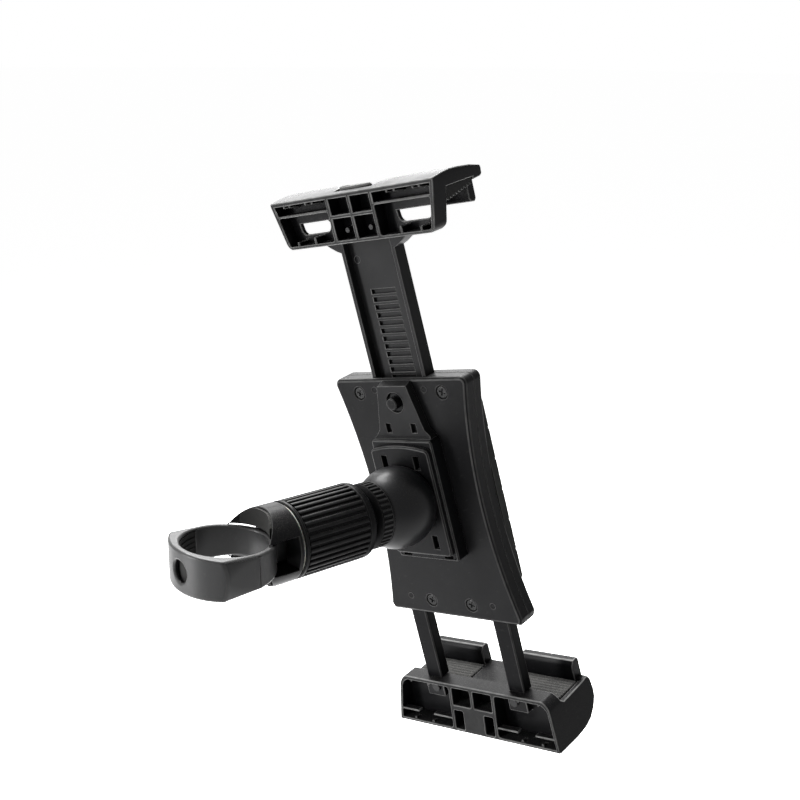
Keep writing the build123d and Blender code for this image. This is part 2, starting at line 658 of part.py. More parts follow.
def upper_jaw_shell():
    """Upper jaw: ribbed body, crowned hook plate with a middle gap and two lips."""
    jaw = along_x(UPPER_PROFILE, -UPPER_HALF, UPPER_HALF)
    front = along_y(upper_outline(), 17, 60)
    jaw = jaw & front
    lip = ((46.2, 134.5), (51.2, 136.5), (51.0, 125.2), (49.8, 124.0), (47.2, 124.4), (46.2, 126.0))
    jaw += both_sides(along_x(lip, 24, 43))
    corner = along_z_corner(UPPER_HALF, 53.0, 2.6)
    jaw -= both_sides(corner)
    gap = extrude(Plane.XY.offset(112) * polygon(((-11.5, 27.0), (-11.5, 22.0), (11.5, 22.0), (11.5, 27.0),
                                                  (16.5, 32.0), (21.6, 40.5), (24.0, 60.0), (-24.0, 60.0),
                                                  (-21.6, 40.5), (-16.5, 32.0))),
                  amount=40)
    jaw -= gap & (box(-30, 30, 27.05, 60, 110, 150) + box(-30, 30, 20, 27.1, 139.2, 150))
    # Pockets between the ribs, open to the back.
    centre = box(RIB / 2, 13 - RIB / 2, 17, 25.0, 131.2, 138.5)
    centre += box(RIB / 2, 13 - RIB / 2, 17, 25.0, 119.8, 129.6)
    top_bay = along_y(polygon(((13.9, 134.1), (45.3, 134.1), (46.4, 138.5), (13.9, 138.5))), 17, 25.0)
    low_bay = polygon(((13.9, 119.7), (42.2, 119.7), (45.3, 133.1), (13.9, 133.1)))
    low_bay = along_y(fillet(low_bay.vertices(), 1.0), 17, 24.6)
    window = polygon(((20.9, 123.4), (38.4, 123.4), (39.2, 128.6), (20.2, 128.6)))
    window = along_y(fillet(window.vertices().sort_by(Axis.Y)[:2], 2.9), 20, 30)
    jaw -= both_sides(centre + top_bay + low_bay + window)
    for x, height in ((36.8, 1.8), (25.8, 3.0)):
        stub = box(x - 0.6, x + 0.6, 18.2, 25.0, 118.8, 119.7 + height)
        jaw += both_sides(stub)
    for x in (-40.5, -37, -26.6, -22.4, 22.4, 26.6, 37, 40.5):
        jaw += along_x(((18.3, 138.6), (18.3, 137.4), (25.2, 136.4), (25.2, 138.6)), x - 0.5, x + 0.5)
    for x in (-7, 7):
        jaw -= rod_y(1.2, 20.5, 32, x, 123.6)
    jaw -= upper_pad_seat()
    return jaw


def along_z_corner(x, y, radius):
    """Cutter that rounds the outer front corner of a hook plate."""
    block = box(x - radius, x + 2, y - radius, y + 2, 110, 160)
    return block - Pos(x - radius, y - radius, 135) * Cylinder(radius, 60)


def tooth_line(points, start, end, count, depth):
    """Saw-tooth points from start to end; each tooth drops by depth along the second axis."""
    (y0, z0), (y1, z1) = start, end
    for i in range(count):
        a, b, c = i / count, (i + 0.55) / count, (i + 1) / count
        points.append((y0 + (y1 - y0) * a, z0 + (z1 - z0) * a + depth))
        points.append((y0 + (y1 - y0) * b, z0 + (z1 - z0) * b))
        points.append((y0 + (y1 - y0) * (c - 0.02), z0 + (z1 - z0) * c))
    return points


def upper_pad_profile():
    """Side view of the upper pad: teeth on its under side."""
    points = [(46.1, 134.9), (27.3, 134.9)]
    tooth_line(points, (27.3, 128.9), (45.9, 132.3), 9, 1.0)
    points.append((46.1, 133.0))
    return points


def upper_pad_seat():
    """Room for the upper pad in the jaw."""
    seat = along_x(((46.15, 135.0), (27.2, 135.0), (27.2, 120), (46.15, 125)), 24.2, 50.0)
    return both_sides(seat)


def upper_jaw_pad():
    """Two rubber pads with teeth, one under each half of the hook plate."""
    pad = along_x(upper_pad_profile(), 24.6, 46.6)
    return Compound([s for s in both_sides(pad).solids()])


def upper_jaw_screws():
    """Two screws that hold the jaw to the arm."""
    screws = []
    for x in (-7, 7):
        screw = rod_y(2.4, ARM_FRONT, 30.6, x, 123.6) + rod_y(1.2, 20.6, ARM_FRONT + 0.2, x, 123.6)
        screws.append(screw.solid())
    return Compound(screws)


def jaw_cap():
    """Oval cap in the gap on top of the jaw."""
    face = Pos(0, 25.0) * Ellipse(9.4, 2.8)
    cap = extrude(Plane.XY.offset(139.2) * face, amount=2.9)
    return chamfer(cap.faces().sort_by(Axis.Z)[-1].edges(), 0.8)


# Lower jaw

def lower_bar():
    """Right-hand bar, hollow at the front, with a tenon in the jaw."""
    bar = box(BAR_X[0], BAR_X[1], BAR_Y[0], BAR_Y[1], BAR_FOOT, BAR_TOP)
    bar = chamfer(bar.edges().filter_by(Axis.Z), 0.5)
    bar -= box(BAR_X[0] + 1.8, BAR_X[1] - 1.8, 25.0, 31, BAR_FOOT + 6, BRIDGE_Z[0] - 4)
    bar += box(BAR_X[0] + 0.8, BAR_X[1] - 0.8, BAR_Y[0] + 0.3, 26.6, -112, BAR_FOOT + 1)
    bar += box(BAR_X[0] + 0.5, BAR_X[1] - 0.5, BAR_Y[1] - 1, BRIDGE_Y[0], BRIDGE_Z[0], BRIDGE_Z[1])
    bar -= rod_y(1.0, 20, 32, BAR_MIDDLE, 5.0) & box(20, 30, 25, 32, 0, 10)
    return bar - rod_y(1.2, 17, 27, BAR_SCREW[0], BAR_SCREW[1])


def bar_bridge():
    """Strap that ties the two bars inside the box."""
    bridge = box(-BAR_X[1], BAR_X[1], BRIDGE_Y[0], BRIDGE_Y[1], BRIDGE_Z[0], BRIDGE_Z[1])
    return bridge - both_sides(rod_y(1.0, 28, 32, BAR_MIDDLE, 5.0))


def bridge_rivets():
    """Two rivets of the bridge."""
    rivet = rod_y(1.0, 25.1, 30.72, BAR_MIDDLE, 5.0) + rod_y(1.8, 30.7, 30.92, BAR_MIDDLE, 5.0)
    return Compound([s for s in both_sides(rivet).solids()])


def lower_outline():
    """Front view of the lower jaw's body."""
    half, top_half = LOWER_HALF, LOWER_TOP_HALF
    face = polygon(((-half, -130.5), (half, -130.5), (half, -127.0),
                    (top_half, -103.0), (-top_half, -103.0), (-half, -127.0)))
    top = face.vertices().sort_by(Axis.Y)[-2:]
    return fillet(top, 7.0)


def lower_jaw_shell():
    """Lower jaw: ribbed body, shelf and two lips."""
    jaw = along_x(LOWER_PROFILE, -LOWER_HALF, LOWER_HALF)
    jaw = jaw & along_y(lower_outline(), 10, 60)
    lip = ((46.4, -109.0), (52.7, -110.5), (52.4, -99.6), (51.2, -98.2), (48.2, -98.6), (46.4, -101.0))
    jaw += both_sides(along_x(lip, 12, 42))
    # Pockets between the ribs, open to the back.
    cell = fillet(polygon(((0.9, -114.0), (12.1, -114.0), (12.1, -105.4), (0.9, -105.4))).vertices(), 0.8)
    slot = fillet(polygon(((6.4, -126.1), (12.1, -126.1), (12.1, -116.6), (6.4, -116.6))).vertices(), 0.8)
    bay = polygon(((13.9, -126.1), (47.1, -126.1), (44.0, -105.4), (13.9, -105.4)))
    bay = fillet(bay.vertices().sort_by(Axis.X)[2], 5.4)
    bay = fillet(bay.vertices().sort_by(Axis.X)[:2], 1.6)
    for face in (cell, slot, bay):
        jaw -= both_sides(along_y(face, 10, POCKET_END))
    for x0, x1 in ((13.5, 26.0), (35.6, 47.0)):
        jaw += both_sides(box(x0, x1, 16.0, 19.6, -122.0, -121.0))
    for x0, x1 in ((-45.5, -17.0), (-15.2, -0.9), (0.9, 15.2), (17.0, 45.5)):
        jaw -= along_x(((28.4, -131.0), (28.4, -112.6), (48.8, -112.6), (48.8, -117.4), (46.6, -120.6),
                        (42.8, -123.3), (37.0, -125.2), (37.0, -131.0)), x0, x1)
    low_gusset = ((15.9, -126.6), (19.5, -126.6), (19.5, -125.9), (15.9, -124.9))
    top_gusset = ((18.9, -105.2), (22.5, -105.2), (22.5, -105.9), (18.9, -107.0))
    for x in (27.4, 39.0):
        jaw += both_sides(along_x(low_gusset, x - 0.6, x + 0.6))
        jaw += both_sides(along_x(top_gusset, x - 0.6, x + 0.6))
    socket = box(BAR_X[0] + 0.7, BAR_X[1] - 0.7, BAR_Y[0] + 0.2, 26.7, -112.1, BAR_FOOT + 1)
    jaw += both_sides(box(BAR_X[0] - 0.7, BAR_X[1] + 0.7, 21.2, 26.9, -113.4, -104.5))
    jaw -= both_sides(socket)
    jaw -= both_sides(rod_y(1.2, 17, 26, BAR_SCREW[0], BAR_SCREW[1]))
    jaw -= both_sides(along_x(((46.3, -106.0), (27.0, -106.0), (27.0, -110.4), (46.3, -110.4)), 11.8, 43.4))
    return jaw


def lower_jaw_pad():
    """Two rubber pads with teeth on the shelf."""
    points = [(46.2, -110.3), (27.1, -110.3)]
    tooth_line(points, (27.1, -107.7), (45.8, -107.7), 9, -0.8)
    pad = along_x(points, 12.0, 43.2)
    return Compound([s for s in both_sides(pad).solids()])


def lower_jaw_screws():
    """Two screws that hold the bars in the jaw."""
    x, z = BAR_SCREW
    screw = rod_y(2.2, 19.9, 21.2, x, z) + rod_y(1.15, 21.0, 25.9, x, z)
    return Compound([s for s in both_sides(screw).solids()])


ARM_NODES = {
    "clamp_ring": clamp_ring, "ring_liner": ring_liner,
    "saddle_shoe": saddle_shoe, "saddle_pads": saddle_pads, "thrust_washer": thrust_washer,
    "grip_sleeve": grip_sleeve, "sleeve_nut": sleeve_nut,
    "threaded_stem": threaded_stem, "tongue_pin": tongue_pin,
    "joint_bolt": joint_bolt, "bolt_nut": bolt_nut, "disc_springs": disc_springs,
    "inner_cup": inner_cup, "cup_liner": cup_liner,
    "collar_seat": collar_seat, "lock_collar": lock_collar,
}
CRADLE_NODES = {
    "ball_dome": ball_dome, "ball_plate": ball_plate, "dome_screws": dome_screws,
    "receiver_plate": receiver_plate, "latch_block": latch_block,
    "release_button": release_button, "button_spring": button_spring,
    "rear_cover": rear_cover, "front_cover": front_cover,
    "rest_pads": rest_pads, "cover_screws": cover_screws,
    "detent_spring": detent_spring, "detent_rivets": detent_rivets, "bar_brakes": bar_brakes,
    "upper_arm": upper_arm, "upper_jaw_shell": upper_jaw_shell, "upper_jaw_pad": upper_jaw_pad,
    "upper_jaw_screws": upper_jaw_screws, "jaw_cap": jaw_cap,
    "lower_jaw_shell": lower_jaw_shell, "lower_jaw_pad": lower_jaw_pad,
    "lower_jaw_screws": lower_jaw_screws, "bar_bridge": bar_bridge, "bridge_rivets": bridge_rivets,
}


def main():
    """Writes one STEP file for each node."""
    os.makedirs("parts", exist_ok=True)
    for name, make in ARM_NODES.items():
        export_step(make(), f"parts/{name}.step")
    for name, make in CRADLE_NODES.items():
        export_step(in_cradle(make()), f"parts/{name}.step")
    export_step(in_cradle(lower_bar()), "parts/lower_bar_right.step")
    export_step(in_cradle(mirror(lower_bar(), about=Plane.YZ)), "parts/lower_bar_left.step")


main()
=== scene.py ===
import math

import bmesh
import bpy
from mathutils import Matrix, Vector


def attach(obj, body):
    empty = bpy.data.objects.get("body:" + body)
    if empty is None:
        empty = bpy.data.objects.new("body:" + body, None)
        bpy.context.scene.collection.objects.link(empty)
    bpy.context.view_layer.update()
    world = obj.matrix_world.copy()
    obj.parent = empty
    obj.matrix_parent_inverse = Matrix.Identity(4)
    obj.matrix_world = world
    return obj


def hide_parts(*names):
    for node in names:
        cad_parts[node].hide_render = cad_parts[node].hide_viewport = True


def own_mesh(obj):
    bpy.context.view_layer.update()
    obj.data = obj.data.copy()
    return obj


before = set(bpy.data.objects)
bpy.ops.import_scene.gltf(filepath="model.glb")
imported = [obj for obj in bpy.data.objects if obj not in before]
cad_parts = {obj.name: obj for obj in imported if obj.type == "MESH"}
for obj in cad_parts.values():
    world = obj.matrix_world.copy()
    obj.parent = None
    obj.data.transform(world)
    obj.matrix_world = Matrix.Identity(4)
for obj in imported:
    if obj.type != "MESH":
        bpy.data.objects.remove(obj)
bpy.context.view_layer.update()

# The camera looks down over the right side of the arm at the back of the cradle.
# Its place and lens were fitted to the edges of the holder in the photograph.
camera_data = bpy.data.cameras.new("camera")
camera_data.sensor_fit = "HORIZONTAL"
camera_data.sensor_width = 36.0
camera_data.lens = 54.25
camera_data.clip_start = 0.01
camera = bpy.data.objects.new("camera", camera_data)
bpy.context.scene.collection.objects.link(camera)
bpy.context.scene.camera = camera
looking = Vector((-0.7315, 0.6229, -0.2772)).normalized()
upward = Vector((0.646, 0.7632, 0.0103)).cross(looking).normalized()
sideways = looking.cross(upward)
camera.matrix_world = Matrix((
    (sideways.x, upward.x, -looking.x, 0.3879),
    (sideways.y, upward.y, -looking.y, -0.2384),
    (sideways.z, upward.z, -looking.z, 0.1970),
    (0.0, 0.0, 0.0, 1.0),
))

# The studio is a pale room. One large soft lamp hangs above the left of the arm, a tall and a thin one stand
# behind the camera, and a weak one lights the far side. The floor lies well below the holder.


def node_of(tree, kind, **settings):
    """A new node, with its settings and the values of its inputs."""
    node = tree.nodes.new(kind)
    for name, value in settings.items():
        if name.startswith("in_"):
            node.inputs[name[3:].replace("_", " ")].default_value = value
        else:
            setattr(node, name, value)
    return node


def white_to_camera(tree):
    """The mask of rays for which the background is plain white."""
    rays = node_of(tree, "ShaderNodeLightPath")
    seen = node_of(tree, "ShaderNodeMath", operation="ADD", use_clamp=True)
    tree.links.new(rays.outputs["Is Camera Ray"], seen.inputs[0])
    tree.links.new(rays.outputs["Is Glossy Ray"], seen.inputs[1])
    through = node_of(tree, "ShaderNodeMath", operation="ADD", use_clamp=True)
    tree.links.new(seen.outputs[0], through.inputs[0])
    tree.links.new(rays.outputs["Is Transmission Ray"], through.inputs[1])
    return through.outputs[0]


room = bpy.data.worlds.new("pale_room")
bpy.context.scene.world = room
room.use_nodes = True
room.node_tree.nodes.clear()
room_light = node_of(room.node_tree, "ShaderNodeBackground", in_Color=(1.0, 1.0, 1.0, 1.0), in_Strength=0.05)
room_white = node_of(room.node_tree, "ShaderNodeBackground", in_Color=(1.0, 1.0, 1.0, 1.0), in_Strength=1.0)
room_mix = node_of(room.node_tree, "ShaderNodeMixShader")
room_out = node_of(room.node_tree, "ShaderNodeOutputWorld")
room.node_tree.links.new(white_to_camera(room.node_tree), room_mix.inputs[0])
room.node_tree.links.new(room_light.outputs[0], room_mix.inputs[1])
room.node_tree.links.new(room_white.outputs[0], room_mix.inputs[2])
room.node_tree.links.new(room_mix.outputs[0], room_out.inputs[0])

floor_level = -0.42
floor_reach = 40.0
floor_mesh = bpy.data.meshes.new("floor")
floor_mesh.from_pydata([(-floor_reach, -floor_reach, floor_level), (floor_reach, -floor_reach, floor_level),
                        (floor_reach, floor_reach, floor_level), (-floor_reach, floor_reach, floor_level)],
                       [], [(0, 1, 2, 3)])
floor = bpy.data.objects.new("floor", floor_mesh)
bpy.context.scene.collection.objects.link(floor)
floor_paper = bpy.data.materials.new("floor_paper")
floor_paper.use_nodes = True
paper = floor_paper.node_tree
paper.nodes.clear()
paper_face = node_of(paper, "ShaderNodeBsdfDiffuse", in_Color=(0.86, 0.86, 0.86, 1.0))
paper_glow = node_of(paper, "ShaderNodeEmission", in_Color=(1.0, 1.0, 1.0, 1.0))
paper_place = node_of(paper, "ShaderNodeTexCoord")
paper_distance = node_of(paper, "ShaderNodeVectorMath", operation="LENGTH")
paper_level = node_of(paper, "ShaderNodeMapRange", in_From_Min=0.3, in_From_Max=1.6,
                      in_To_Min=0.72, in_To_Max=0.95)
paper_glow_amount = node_of(paper, "ShaderNodeMath", operation="MULTIPLY")
paper.links.new(paper_place.outputs["Object"], paper_distance.inputs[0])
paper.links.new(paper_distance.outputs["Value"], paper_level.inputs["Value"])
paper.links.new(paper_level.outputs[0], paper_glow_amount.inputs[1])
paper_sum = node_of(paper, "ShaderNodeAddShader")
paper_out = node_of(paper, "ShaderNodeOutputMaterial")
paper.links.new(white_to_camera(paper), paper_glow_amount.inputs[0])
paper.links.new(paper_glow_amount.outputs[0], paper_glow.inputs["Strength"])
paper.links.new(paper_face.outputs[0], paper_sum.inputs[0])
paper.links.new(paper_glow.outputs[0], paper_sum.inputs[1])
paper.links.new(paper_sum.outputs[0], paper_out.inputs[0])
floor_mesh.materials.append(floor_paper)


def soft_lamp(name, place, width, height, watts):
    """A rectangular soft lamp that faces the ball joint."""
    lamp = bpy.data.lights.new(name, "AREA")
    lamp.shape = "RECTANGLE"
    lamp.size = width
    lamp.size_y = height
    lamp.energy = watts
    holder = bpy.data.objects.new(name, lamp)
    facing = (Vector((0.0, 0.08, 0.0)) - Vector(place)).to_track_quat("-Z", "Y")
    holder.matrix_world = Matrix.Translation(place) @ facing.to_matrix().to_4x4()
    bpy.context.scene.collection.objects.link(holder)


soft_lamp("left_lamp", (-0.58, 0.30, 0.92), 0.90, 0.60, 62.0)
soft_lamp("tall_lamp", (-0.55, -1.00, 0.10), 0.22, 1.20, 20.0)
soft_lamp("thin_lamp", (0.30, -1.10, 0.10), 0.06, 1.20, 2.5)
soft_lamp("back_lamp", (-1.05, 0.75, 0.38), 0.70, 0.35, 4.0)

# The clamp ring is moulded in black nylon with a fine spark grain, and its tongue runs through the saddle.
# Its edges are a little polished where they are handled, and lighter in colour as a painted edge highlight. A
# rubber liner sits inside.


def group_of(name, inputs, outputs):
    """An empty node group with its named sockets."""
    group = bpy.data.node_groups.new(name, "ShaderNodeTree")
    for label, kind, value in inputs:
        socket = group.interface.new_socket(label, in_out="INPUT", socket_type=kind)
        if value is not None:
            socket.default_value = value
    for label, kind in outputs:
        group.interface.new_socket(label, in_out="OUTPUT", socket_type=kind)
    return group, group.nodes.new("NodeGroupInput"), group.nodes.new("NodeGroupOutput")


def spark_grain():
    """Fine grain of a mould, with slow changes of tone and gloss across the piece."""
    group, given, made = group_of("spark_grain", [
        ("Vector", "NodeSocketVector", None), ("Grain Size", "NodeSocketFloat", 0.0004),
        ("Cloud Size", "NodeSocketFloat", 0.03)],
        [("Height", "NodeSocketFloat"), ("Cloud", "NodeSocketFloat"), ("Speckle", "NodeSocketFloat")])
    links = group.links
    fine_scale = node_of(group, "ShaderNodeMath", operation="DIVIDE")
    fine_scale.inputs[0].default_value = 1.0
    links.new(given.outputs["Grain Size"], fine_scale.inputs[1])
    cloud_scale = node_of(group, "ShaderNodeMath", operation="DIVIDE")
    cloud_scale.inputs[0].default_value = 1.0
    links.new(given.outputs["Cloud Size"], cloud_scale.inputs[1])
    grain = node_of(group, "ShaderNodeTexNoise", in_Detail=3.0, in_Roughness=0.62)
    cloud = node_of(group, "ShaderNodeTexNoise", in_Detail=4.0, in_Roughness=0.5, in_Distortion=0.4)
    pits = node_of(group, "ShaderNodeTexVoronoi", feature="F1")
    for texture, scale in ((grain, fine_scale), (cloud, cloud_scale), (pits, fine_scale)):
        links.new(given.outputs["Vector"], texture.inputs["Vector"])
        links.new(scale.outputs[0], texture.inputs["Scale"])
    height = node_of(group, "ShaderNodeMath", operation="MULTIPLY_ADD")
    height.inputs[1].default_value = 0.45
    links.new(pits.outputs["Distance"], height.inputs[0])
    links.new(grain.outputs["Fac"], height.inputs[2])
    speckle = node_of(group, "ShaderNodeMapRange", in_From_Min=0.35, in_From_Max=0.7)
    links.new(grain.outputs["Fac"], speckle.inputs["Value"])
    cloud_map = node_of(group, "ShaderNodeMapRange", in_From_Min=0.3, in_From_Max=0.7)
    links.new(cloud.outputs["Fac"], cloud_map.inputs["Value"])
    links.new(height.outputs[0], made.inputs["Height"])
    links.new(cloud_map.outputs[0], made.inputs["Cloud"])
    links.new(speckle.outputs[0], made.inputs["Speckle"])
    return group


def wear_and_edge_highlight():
    """Rims lightened as rubbed wear together with a painted edge highlight, fine scratches and a little
    settled dust.
    """
    group, given, made = group_of("wear_and_edge_highlight", [
        ("Vector", "NodeSocketVector", None), ("Facing", "NodeSocketVector", None),
        ("Rim", "NodeSocketFloat", 0.0), ("Scratches", "NodeSocketFloat", 0.3),
        ("Dust", "NodeSocketFloat", 0.2)],
        [("Rubbed Highlight", "NodeSocketFloat"), ("Scratch", "NodeSocketFloat"), ("Dust", "NodeSocketFloat")])
    links = group.links
    patches = node_of(group, "ShaderNodeTexNoise", in_Scale=220.0, in_Detail=3.0)
    links.new(given.outputs["Vector"], patches.inputs["Vector"])
    patch_map = node_of(group, "ShaderNodeMapRange", in_From_Min=0.25, in_From_Max=0.6, in_To_Min=0.55)
    links.new(patches.outputs["Fac"], patch_map.inputs["Value"])
    rubbed_highlight = node_of(group, "ShaderNodeMath", operation="MULTIPLY", use_clamp=True)
    links.new(given.outputs["Rim"], rubbed_highlight.inputs[0])
    links.new(patch_map.outputs[0], rubbed_highlight.inputs[1])
    stretch = node_of(group, "ShaderNodeMapping")
    stretch.inputs["Rotation"].default_value = (0.5, 0.9, 0.3)
    stretch.inputs["Scale"].default_value = (1.0, 14.0, 3.0)
    links.new(given.outputs["Vector"], stretch.inputs["Vector"])
    hairs = node_of(group, "ShaderNodeTexNoise", in_Scale=120.0, in_Detail=2.0)
    links.new(stretch.outputs[0], hairs.inputs["Vector"])
    hair_map = node_of(group, "ShaderNodeMapRange", in_From_Min=0.66, in_From_Max=0.72)
    links.new(hairs.outputs["Fac"], hair_map.inputs["Value"])
    scratch = node_of(group, "ShaderNodeMath", operation="MULTIPLY", use_clamp=True)
    links.new(hair_map.outputs[0], scratch.inputs[0])
    links.new(given.outputs["Scratches"], scratch.inputs[1])
    split = node_of(group, "ShaderNodeSeparateXYZ")
    links.new(given.outputs["Facing"], split.inputs[0])
    upper = node_of(group, "ShaderNodeMapRange", in_From_Min=0.2, in_From_Max=1.0)
    links.new(split.outputs["Z"], upper.inputs["Value"])
    motes = node_of(group, "ShaderNodeTexNoise", in_Scale=2600.0, in_Detail=1.0)
    links.new(given.outputs["Vector"], motes.inputs["Vector"])
    mote_map = node_of(group, "ShaderNodeMapRange", in_From_Min=0.52, in_From_Max=0.72)
    links.new(motes.outputs["Fac"], mote_map.inputs["Value"])
    lying = node_of(group, "ShaderNodeMath", operation="MULTIPLY")
    links.new(mote_map.outputs[0], lying.inputs[0])
    links.new(upper.outputs[0], lying.inputs[1])
    dust = node_of(group, "ShaderNodeMath", operation="MULTIPLY", use_clamp=True)
    links.new(lying.outputs[0], dust.inputs[0])
    links.new(given.outputs["Dust"], dust.inputs[1])
    links.new(rubbed_highlight.outputs[0], made.inputs["Rubbed Highlight"])
    links.new(scratch.outputs[0], made.inputs["Scratch"])
    links.new(dust.outputs[0], made.inputs["Dust"])
    return group


grain_effect = spark_grain()
wear_and_highlight_effect = wear_and_edge_highlight()
# The rubbed tone lightens the rims: worn edges together with a painted highlight along every rounded edge.
rubbed_highlight_tone = (0.13, 0.13, 0.128)
scratch_tone = (0.04, 0.04, 0.039)
dust_tone = (0.16, 0.155, 0.145)


def blended(tree, low, high, mask):
    """Colour that goes from low to high with the mask."""
    mix = node_of(tree, "ShaderNodeMix", data_type="RGBA")
    tree.links.new(mask, mix.inputs[0])
    for socket, value in ((mix.inputs[6], low), (mix.inputs[7], high)):
        if isinstance(value, tuple):
            socket.default_value = (*value, 1.0)
        else:
            tree.links.new(value, socket)
    return mix.outputs[2]


def ranged(tree, value, low, high):
    """Value that goes from low to high as the given one goes from 0 to 1."""
    scale = node_of(tree, "ShaderNodeMapRange", in_To_Min=low, in_To_Max=high)
    tree.links.new(value, scale.inputs["Value"])
    return scale.outputs[0]


def summed(tree, first, second, operation="ADD"):
    """Two values put together and kept between 0 and 1."""
    node = node_of(tree, "ShaderNodeMath", operation=operation, use_clamp=True)
    tree.links.new(first, node.inputs[0])
    if isinstance(second, float):
        node.inputs[1].default_value = second
    else:
        tree.links.new(second, node.inputs[1])
    return node.outputs[0]


def moulded(name, dark, pale, gloss, grain=0.0004, bump=0.00002, rim=0.5, scratches=0.12, dust=0.2,
            specular=0.05):
    """Moulded plastic: grain, clouds of tone, rims lightened by rubbing and by a painted edge highlight,
    scratches and dust.
    """
    material = bpy.data.materials.new(name)
    material.use_nodes = True
    tree = material.node_tree
    surface = tree.nodes["Principled BSDF"]
    place = node_of(tree, "ShaderNodeTexCoord")
    edge = node_of(tree, "ShaderNodeAttribute", attribute_name="rim")
    grains = node_of(tree, "ShaderNodeGroup", node_tree=grain_effect)
    grains.inputs["Grain Size"].default_value = grain
    wear_and_highlight = node_of(tree, "ShaderNodeGroup", node_tree=wear_and_highlight_effect)
    wear_and_highlight.inputs["Scratches"].default_value = scratches
    wear_and_highlight.inputs["Dust"].default_value = dust
    tree.links.new(place.outputs["Object"], grains.inputs["Vector"])
    tree.links.new(place.outputs["Object"], wear_and_highlight.inputs["Vector"])
    tree.links.new(place.outputs["Normal"], wear_and_highlight.inputs["Facing"])
    tree.links.new(edge.outputs["Fac"], wear_and_highlight.inputs["Rim"])
    colour = blended(tree, dark, pale, grains.outputs["Cloud"])
    rubbed_highlight = summed(tree, wear_and_highlight.outputs["Rubbed Highlight"], rim, "MULTIPLY")
    # The rims are lightened towards the pale rubbed tone, as wear and as a painted edge highlight.
    colour = blended(tree, colour, rubbed_highlight_tone, rubbed_highlight)
    colour = blended(tree, colour, scratch_tone, wear_and_highlight.outputs["Scratch"])
    colour = blended(tree, colour, dust_tone, wear_and_highlight.outputs["Dust"])
    tree.links.new(colour, surface.inputs["Base Color"])
    rough = ranged(tree, grains.outputs["Cloud"], gloss + 0.05, gloss - 0.05)
    polish = ranged(tree, rubbed_highlight, 1.0, 0.62)
    rough = summed(tree, rough, polish, "MULTIPLY")
    rough = summed(tree, rough, ranged(tree, wear_and_highlight.outputs["Dust"], 0.0, 0.3))
    tree.links.new(rough, surface.inputs["Roughness"])
    surface.inputs["Specular IOR Level"].default_value = specular
    relief = node_of(tree, "ShaderNodeBump", in_Strength=0.8)
    relief.inputs["Distance"].default_value = bump
    tree.links.new(grains.outputs["Height"], relief.inputs["Height"])
    tree.links.new(relief.outputs[0], surface.inputs["Normal"])
    return material


def mesh_of(shape, name):
    """A new mesh from a finished shape."""
    mesh = bpy.data.meshes.new(name)
    shape.to_mesh(mesh)
    shape.free()
    return mesh


def evaluated_mesh(holder):
    """A plain mesh of the object as its modifiers leave it."""
    seen = bpy.context.evaluated_depsgraph_get()
    return bpy.data.meshes.new_from_object(holder.evaluated_get(seen), preserve_all_data_layers=True,
                                           depsgraph=seen)


weld_distance = 2e-6
flat_angle = math.radians(0.1)


def rounded(name, source, material, width, limit=38.0):
    """A closed piece made from a mesh, with its outer edges rounded and marked as rims."""
    shape = bmesh.new()
    shape.from_mesh(source)
    bmesh.ops.remove_doubles(shape, verts=shape.verts, dist=weld_distance)
    bmesh.ops.dissolve_limit(shape, angle_limit=flat_angle, verts=shape.verts, edges=shape.edges)
    bmesh.ops.connect_verts_concave(shape, faces=shape.faces)
    weight = shape.edges.layers.float.new("bevel_weight_edge")
    for edge in shape.edges:
        sharp = edge.is_manifold and edge.calc_face_angle(0.0) > math.radians(limit)
        edge.smooth = not sharp
        edge[weight] = 1.0 if sharp and edge.is_convex else 0.0
    for face in shape.faces:
        face.smooth = True
        face.material_index = 0
    mesh = mesh_of(shape, name)
    mesh.materials.clear()
    mesh.materials.append(material)
    mesh.materials.append(material)
    piece = bpy.data.objects.new(name, mesh)
    bpy.context.scene.collection.objects.link(piece)
    edges = piece.modifiers.new("edges", "BEVEL")
    edges.limit_method = "WEIGHT"
    edges.width = width
    edges.segments = 2
    edges.use_clamp_overlap = False
    edges.loop_slide = False
    edges.harden_normals = False
    edges.material = 1
    even = piece.modifiers.new("even", "WEIGHTED_NORMAL")
    even.keep_sharp = True
    even.weight = 100
    done = evaluated_mesh(piece)
    piece.modifiers.clear()
    piece.data = done
    done.name = name
    rims = done.attributes.new("rim", "FLOAT", "FACE")
    rims.data.foreach_set("value", [float(face.material_index == 1) for face in done.polygons])
    done.polygons.foreach_set("material_index", [0] * len(done.polygons))
    while len(done.materials) > 1:
        done.materials.pop()
    return piece


def standing_for(piece, body, slot, *nodes):
    """A finished piece rides on its body and takes the place of its CAD nodes."""
    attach(piece, body)
    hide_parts(*nodes)
    return piece


def dressed(material, *nodes):
    """CAD nodes that stay get their finish."""
    for node in nodes:
        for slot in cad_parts[node].material_slots:
            slot.material = material


def rounded_node(node, body, material, width, limit=38.0, slot="black_moulding"):
    """The CAD node's own shape, with rounded edges."""
    piece = rounded(node + "_skin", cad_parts[node].data, material, width, limit)
    return standing_for(piece, body, slot, node)


ring_nylon = moulded("ring_nylon", (0.007, 0.007, 0.0075), (0.011, 0.011, 0.0115), 0.38, rim=0.15,
                     specular=0.26)
rounded_node("clamp_ring", "pole_clamp_body", ring_nylon, 0.0009, 30.0)


def rubbery(name, colour, pale, rough=0.75):
    """Matt black rubber with a soft bloom, and its rims lightened as worn high spots with a painted edge
    highlight.
    """
    return moulded(name, colour, pale, rough, grain=0.0007, bump=0.00004, rim=0.25, scratches=0.05, dust=0.5,
                   specular=0.08)


liner_rubber = rubbery("liner_rubber", (0.014, 0.014, 0.014), (0.026, 0.026, 0.025))
dressed(liner_rubber, "ring_liner")

